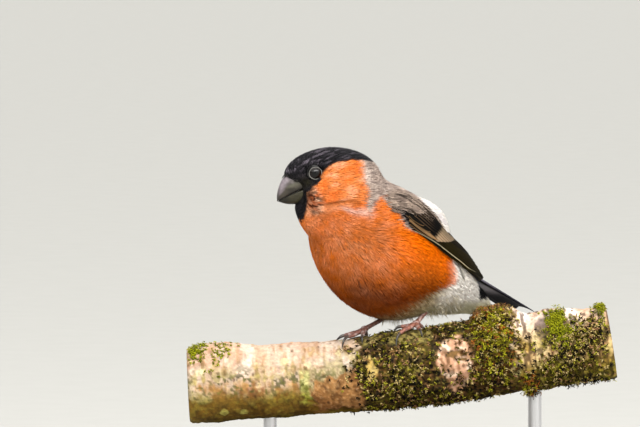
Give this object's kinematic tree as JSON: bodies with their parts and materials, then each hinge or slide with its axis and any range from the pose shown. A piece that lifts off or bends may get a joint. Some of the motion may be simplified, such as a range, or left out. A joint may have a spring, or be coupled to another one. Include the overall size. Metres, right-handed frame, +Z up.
{
  "type": "bullfinch on a perch",
  "caption": "Life-size male Eurasian bullfinch, perched on a short mossy cut branch that two rods hold over a flat display base.",
  "frame": {"origin": "middle of the display base's underside, which rests on the floor", "axes": "+Z up; +X along the perch, towards its raised end, so the bird's head is on the -X side; -Y towards the side that the bird's left eye looks to"},
  "size_m": [0.166, 0.098, 0.1298],
  "materials": {
    "black_plumage": "glossy black feathers with a blue sheen",
    "orange_plumage": "soft loose feathers",
    "wing_plumage": "grey and black vanes with a pale wing bar",
    "bill_horn": "satin horn",
    "eye": "wet gloss",
    "leg_skin": "scaled skin",
    "claw_horn": "satin horn",
    "bark": "rough bark with lichen and moss",
    "rod_steel": "satin",
    "base_wood": "satin oiled"
  },
  "bodies": {
    "root": {"head": "black_plumage", "neck": "orange_plumage", "trunk": "orange_plumage", "wing_left": "wing_plumage", "wing_right": "wing_plumage", "tail": "black_plumage", "bill_upper": "bill_horn", "bill_lower": "bill_horn", "eye_left": "eye", "eye_right": "eye", "leg_left": "leg_skin", "foot_left": "leg_skin", "leg_right": "leg_skin", "foot_right": "leg_skin", "claw_left_hind": "claw_horn", "claw_left_inner": "claw_horn", "claw_left_middle": "claw_horn", "claw_left_outer": "claw_horn", "claw_right_hind": "claw_horn", "claw_right_inner": "claw_horn", "claw_right_middle": "claw_horn", "claw_right_outer": "claw_horn", "perch": "bark", "stand_rod_left": "rod_steel", "stand_rod_right": "rod_steel", "stand_base": "base_wood"}
  },
  "joints": []
}
